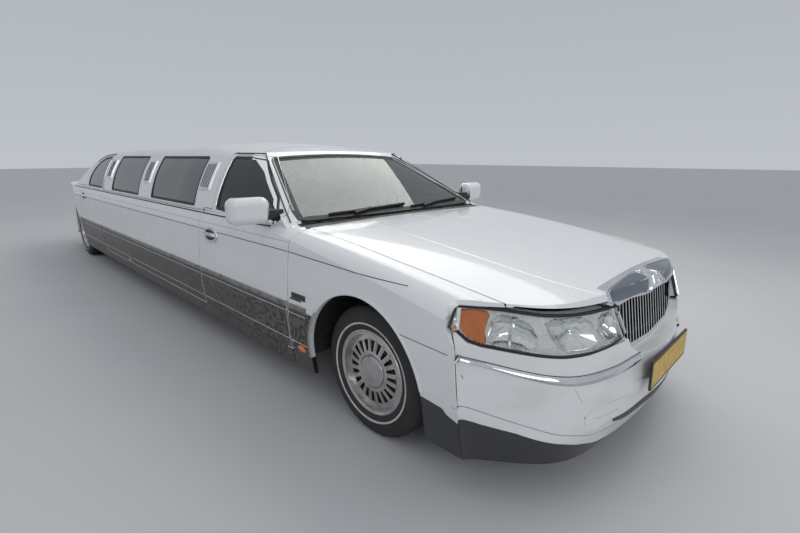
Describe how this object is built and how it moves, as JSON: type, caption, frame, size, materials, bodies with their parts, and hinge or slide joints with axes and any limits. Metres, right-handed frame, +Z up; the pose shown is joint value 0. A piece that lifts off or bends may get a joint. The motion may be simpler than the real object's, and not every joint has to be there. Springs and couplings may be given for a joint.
{
  "type": "stretch limousine",
  "caption": "White stretched saloon with a long passenger cabin, opening doors, hood and boot lid, steered front wheels and free-rolling wheels.",
  "frame": {"origin": "on the ground under the middle of the overall length and width", "axes": "+X to the nose, +Y to the car's left, +Z up"},
  "size_m": [8.5171, 2.331, 1.4795],
  "materials": {
    "white_paint": "gloss with light road dirt",
    "black_plastic": "matte",
    "chrome": "bright",
    "tinted_glass": "dark tint",
    "clear_glass": "greenish",
    "lamp_lens": "clear lens",
    "red_lens": "red lens",
    "tyre": "matte rubber with a thin white ring",
    "alloy": "machined and painted silver",
    "steel": "dull",
    "frame_black": "semi gloss underseal",
    "iron": "rough casting",
    "leather": "black",
    "trim": "grained",
    "wood": "dark veneer"
  },
  "bodies": {
    "body": {"chassis_frame": "frame_black", "floor_pan": "frame_black", "front_fenders": "white_paint", "cowl": "white_paint", "body_sides": "white_paint", "rear_quarters": "white_paint", "roof": "white_paint", "windscreen": "clear_glass", "rear_window": "tinted_glass", "side_windows": "tinted_glass", "pillar_louvres": "chrome", "sill_panels": "steel", "front_bumper": "white_paint", "rear_bumper": "white_paint", "grille": "chrome", "headlamps": "lamp_lens", "tail_lamps": "red_lens", "engine": "iron", "radiator": "black_plastic", "front_suspension": "frame_black", "rear_axle": "frame_black", "exhaust": "steel", "fuel_tank": "black_plastic", "wheel_liners": "black_plastic", "dashboard": "trim", "steering_wheel": "trim", "front_seat": "leather", "rear_seat": "leather", "side_bench": "leather", "bar_cabinet": "wood", "partition": "trim"},
    "hood": {"hood": "white_paint", "grille_header": "chrome"},
    "trunk_lid": {"trunk_lid": "white_paint"},
    "front_door_right": {"front_door_right": "white_paint", "front_glass_right": "tinted_glass", "mirror_right": "white_paint"},
    "rear_door_right": {"rear_door_right": "white_paint", "rear_glass_right": "tinted_glass"},
    "knuckle_right": {"knuckle_right": "iron"},
    "wheel_front_right": {"tyre_front_right": "tyre", "rim_front_right": "alloy"},
    "wheel_rear_right": {"tyre_rear_right": "tyre", "rim_rear_right": "alloy"},
    "front_door_left": {"front_door_left": "white_paint", "front_glass_left": "tinted_glass", "mirror_left": "white_paint"},
    "rear_door_left": {"rear_door_left": "white_paint", "rear_glass_left": "tinted_glass"},
    "knuckle_left": {"knuckle_left": "iron"},
    "wheel_front_left": {"tyre_front_left": "tyre", "rim_front_left": "alloy"},
    "wheel_rear_left": {"tyre_rear_left": "tyre", "rim_rear_left": "alloy"}
  },
  "joints": [
    {"name": "front_door_right_hinge", "type": "hinge", "parent": "body", "child": "front_door_right", "pos_m": [2.5535, -0.9, 0.6], "axis": [0, 0, 1], "range_deg": [0, 65]},
    {"name": "rear_door_right_hinge", "type": "hinge", "parent": "body", "child": "rear_door_right", "pos_m": [-1.4185, -0.9, 0.6], "axis": [0, 0, 1], "range_deg": [0, 65]},
    {"name": "front_door_left_hinge", "type": "hinge", "parent": "body", "child": "front_door_left", "pos_m": [2.5535, 0.9, 0.6], "axis": [0, 0, -1], "range_deg": [0, 65]},
    {"name": "rear_door_left_hinge", "type": "hinge", "parent": "body", "child": "rear_door_left", "pos_m": [-1.4185, 0.9, 0.6], "axis": [0, 0, -1], "range_deg": [0, 65]},
    {"name": "hood_hinge", "type": "hinge", "parent": "body", "child": "hood", "pos_m": [2.6515, 0, 0.945], "axis": [0, -1, 0], "range_deg": [0, 50]},
    {"name": "trunk_hinge", "type": "hinge", "parent": "body", "child": "trunk_lid", "pos_m": [-3.3985, 0, 0.972], "axis": [0, 1, 0], "range_deg": [0, 70]},
    {"name": "steer_right", "type": "hinge", "parent": "body", "child": "knuckle_right", "pos_m": [3.2015, -0.735, 0.338], "axis": [0, 0, 1], "range_deg": [-32, 32]},
    {"name": "steer_left", "type": "hinge", "parent": "body", "child": "knuckle_left", "pos_m": [3.2015, 0.735, 0.338], "axis": [0, 0, 1], "range_deg": [-32, 32]},
    {"name": "wheel_front_right_spin", "type": "hinge", "parent": "knuckle_right", "child": "wheel_front_right", "pos_m": [3.2015, -0.806, 0.338], "axis": [0, 1, 0], "continuous": true},
    {"name": "wheel_front_left_spin", "type": "hinge", "parent": "knuckle_left", "child": "wheel_front_left", "pos_m": [3.2015, 0.806, 0.338], "axis": [0, 1, 0], "continuous": true},
    {"name": "wheel_rear_right_spin", "type": "hinge", "parent": "body", "child": "wheel_rear_right", "pos_m": [-2.8365, -0.806, 0.338], "axis": [0, 1, 0], "continuous": true},
    {"name": "wheel_rear_left_spin", "type": "hinge", "parent": "body", "child": "wheel_rear_left", "pos_m": [-2.8365, 0.806, 0.338], "axis": [0, 1, 0], "continuous": true}
  ],
  "couplings": [
    {"joint": "steer_left", "follows": "steer_right", "ratio": 1}
  ]
}
